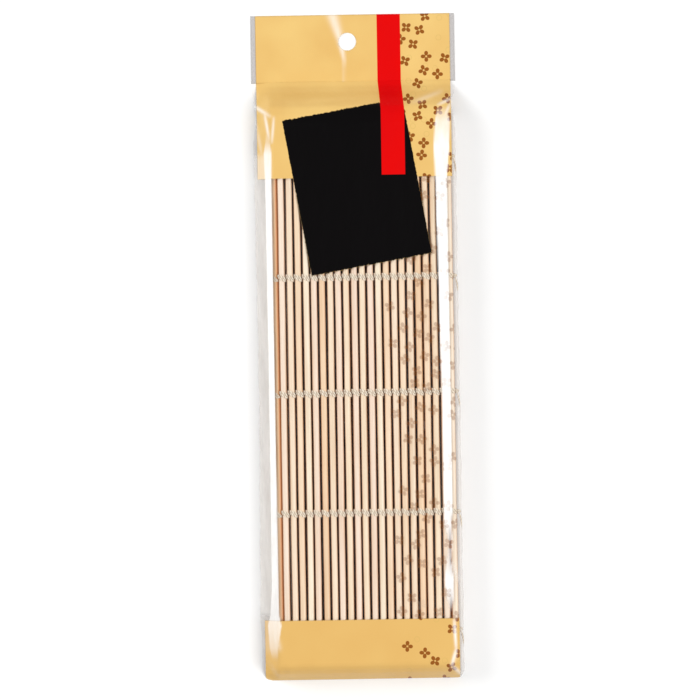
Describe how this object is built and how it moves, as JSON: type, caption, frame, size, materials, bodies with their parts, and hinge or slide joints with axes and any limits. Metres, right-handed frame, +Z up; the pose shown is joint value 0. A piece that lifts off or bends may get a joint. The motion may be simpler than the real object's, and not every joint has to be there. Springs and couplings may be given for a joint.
{
  "type": "sushi rolling mat",
  "caption": "Bamboo rolling mat of round slats tied by rows of cotton string, folded in three in a clear bag with a hang hole; it comes out, unfolds flat and its end third rolls up.",
  "frame": {"origin": "centre of the bag's footprint, on the surface it lies on", "axes": "+Z up through the folded layers, +Y along the slats towards the bag's header, +X across the slats towards the first fold"},
  "size_m": [0.1024, 0.3334, 0.0159],
  "materials": {
    "bamboo": "smooth natural bamboo, unvarnished",
    "cotton_string": "twisted undyed cotton",
    "clear_film": "thin clear polypropylene with printed bands, glossy",
    "printed_film": "thin polypropylene printed gold, glossy"
  },
  "bodies": {
    "bottom_third": {"bottom_slats": "bamboo", "bottom_strings": "cotton_string"},
    "right_fold_1": {"right_fold_slat_1": "bamboo", "right_fold_loops_1": "cotton_string"},
    "right_fold_2": {"right_fold_slat_2": "bamboo", "right_fold_loops_2": "cotton_string"},
    "middle_third": {"middle_slats": "bamboo", "middle_strings": "cotton_string"},
    "left_fold_1": {"left_fold_slat_1": "bamboo", "left_fold_loops_1": "cotton_string"},
    "left_fold_2": {"left_fold_slat_2": "bamboo", "left_fold_loops_2": "cotton_string"},
    "top_pair_01": {"top_slats_01": "bamboo", "top_loops_01": "cotton_string"},
    "top_pair_02": {"top_slats_02": "bamboo", "top_loops_02": "cotton_string"},
    "top_pair_03": {"top_slats_03": "bamboo", "top_loops_03": "cotton_string"},
    "top_pair_04": {"top_slats_04": "bamboo", "top_loops_04": "cotton_string"},
    "top_pair_05": {"top_slats_05": "bamboo", "top_loops_05": "cotton_string"},
    "top_pair_06": {"top_slats_06": "bamboo", "top_loops_06": "cotton_string"},
    "top_pair_07": {"top_slats_07": "bamboo", "top_loops_07": "cotton_string"},
    "top_pair_08": {"top_slats_08": "bamboo", "top_loops_08": "cotton_string"},
    "top_pair_09": {"top_slats_09": "bamboo", "top_loops_09": "cotton_string"},
    "top_pair_10": {"top_slats_10": "bamboo", "top_loops_10": "cotton_string"},
    "top_pair_11": {"top_slats_11": "bamboo", "top_loops_11": "cotton_string", "top_knots": "cotton_string"},
    "bag": {"bag_back": "clear_film", "bag_front": "clear_film", "bag_header": "printed_film"}
  },
  "joints": [
    {"name": "unfold", "type": "hinge", "parent": "bottom_third", "child": "right_fold_1", "pos_m": [0.04485, -0.02325, 0.0024], "axis": [0, 1, 0], "range_deg": [0, 60.6], "deforming": ["bag_front"]},
    {"name": "right_fold_bend_2", "type": "hinge", "parent": "right_fold_1", "child": "right_fold_2", "pos_m": [0.04681, -0.02325, 0.00588], "axis": [0, 1, 0], "range_deg": [0, 60.6]},
    {"name": "right_fold_bend_3", "type": "hinge", "parent": "right_fold_2", "child": "middle_third", "pos_m": [0.04474, -0.02325, 0.00931], "axis": [0, 1, 0], "range_deg": [0, 60.6]},
    {"name": "left_fold_bend_1", "type": "hinge", "parent": "middle_third", "child": "left_fold_1", "pos_m": [-0.03922, -0.02325, 0.00667], "axis": [0, -1, 0], "range_deg": [0, 60.6]},
    {"name": "left_fold_bend_2", "type": "hinge", "parent": "left_fold_1", "child": "left_fold_2", "pos_m": [-0.04129, -0.02325, 0.01009], "axis": [0, -1, 0], "range_deg": [0, 60.6]},
    {"name": "left_fold_bend_3", "type": "hinge", "parent": "left_fold_2", "child": "top_pair_01", "pos_m": [-0.03933, -0.02325, 0.01357], "axis": [0, -1, 0], "range_deg": [0, 60.6]},
    {"name": "roll", "type": "hinge", "parent": "top_pair_01", "child": "top_pair_02", "pos_m": [-0.03133, -0.02325, 0.01357], "axis": [0, -1, 0], "range_deg": [0, 29], "deforming": ["bag_front"]},
    {"name": "roll_bend_03", "type": "hinge", "parent": "top_pair_02", "child": "top_pair_03", "pos_m": [-0.02333, -0.02325, 0.01357], "axis": [0, -1, 0], "range_deg": [0, 29]},
    {"name": "roll_bend_04", "type": "hinge", "parent": "top_pair_03", "child": "top_pair_04", "pos_m": [-0.01533, -0.02325, 0.01357], "axis": [0, -1, 0], "range_deg": [0, 29]},
    {"name": "roll_bend_05", "type": "hinge", "parent": "top_pair_04", "child": "top_pair_05", "pos_m": [-0.00733, -0.02325, 0.01357], "axis": [0, -1, 0], "range_deg": [0, 29]},
    {"name": "roll_bend_06", "type": "hinge", "parent": "top_pair_05", "child": "top_pair_06", "pos_m": [0.00067, -0.02325, 0.01357], "axis": [0, -1, 0], "range_deg": [0, 29]},
    {"name": "roll_bend_07", "type": "hinge", "parent": "top_pair_06", "child": "top_pair_07", "pos_m": [0.00867, -0.02325, 0.01357], "axis": [0, -1, 0], "range_deg": [0, 29]},
    {"name": "roll_bend_08", "type": "hinge", "parent": "top_pair_07", "child": "top_pair_08", "pos_m": [0.01667, -0.02325, 0.01357], "axis": [0, -1, 0], "range_deg": [0, 29]},
    {"name": "roll_bend_09", "type": "hinge", "parent": "top_pair_08", "child": "top_pair_09", "pos_m": [0.02467, -0.02325, 0.01357], "axis": [0, -1, 0], "range_deg": [0, 29]},
    {"name": "roll_bend_10", "type": "hinge", "parent": "top_pair_09", "child": "top_pair_10", "pos_m": [0.03267, -0.02325, 0.01357], "axis": [0, -1, 0], "range_deg": [0, 29]},
    {"name": "roll_bend_11", "type": "hinge", "parent": "top_pair_10", "child": "top_pair_11", "pos_m": [0.04067, -0.02325, 0.01357], "axis": [0, -1, 0], "range_deg": [0, 29]},
    {"name": "bag_slide", "type": "slide", "parent": "bottom_third", "child": "bag", "axis": [0, -1, 0], "range_m": [0, 0.336]}
  ],
  "couplings": [
    {"joint": "right_fold_bend_2", "follows": "unfold", "ratio": 1},
    {"joint": "right_fold_bend_3", "follows": "unfold", "ratio": 1},
    {"joint": "left_fold_bend_1", "follows": "unfold", "ratio": 1},
    {"joint": "left_fold_bend_2", "follows": "unfold", "ratio": 1},
    {"joint": "left_fold_bend_3", "follows": "unfold", "ratio": 1},
    {"joint": "roll_bend_03", "follows": "roll", "ratio": 1},
    {"joint": "roll_bend_04", "follows": "roll", "ratio": 1},
    {"joint": "roll_bend_05", "follows": "roll", "ratio": 1},
    {"joint": "roll_bend_06", "follows": "roll", "ratio": 1},
    {"joint": "roll_bend_07", "follows": "roll", "ratio": 1},
    {"joint": "roll_bend_08", "follows": "roll", "ratio": 1},
    {"joint": "roll_bend_09", "follows": "roll", "ratio": 1},
    {"joint": "roll_bend_10", "follows": "roll", "ratio": 1},
    {"joint": "roll_bend_11", "follows": "roll", "ratio": 1},
    {"joint": "bag_slide", "follows": "unfold", "m_per_rad": 0.3175}
  ]
}
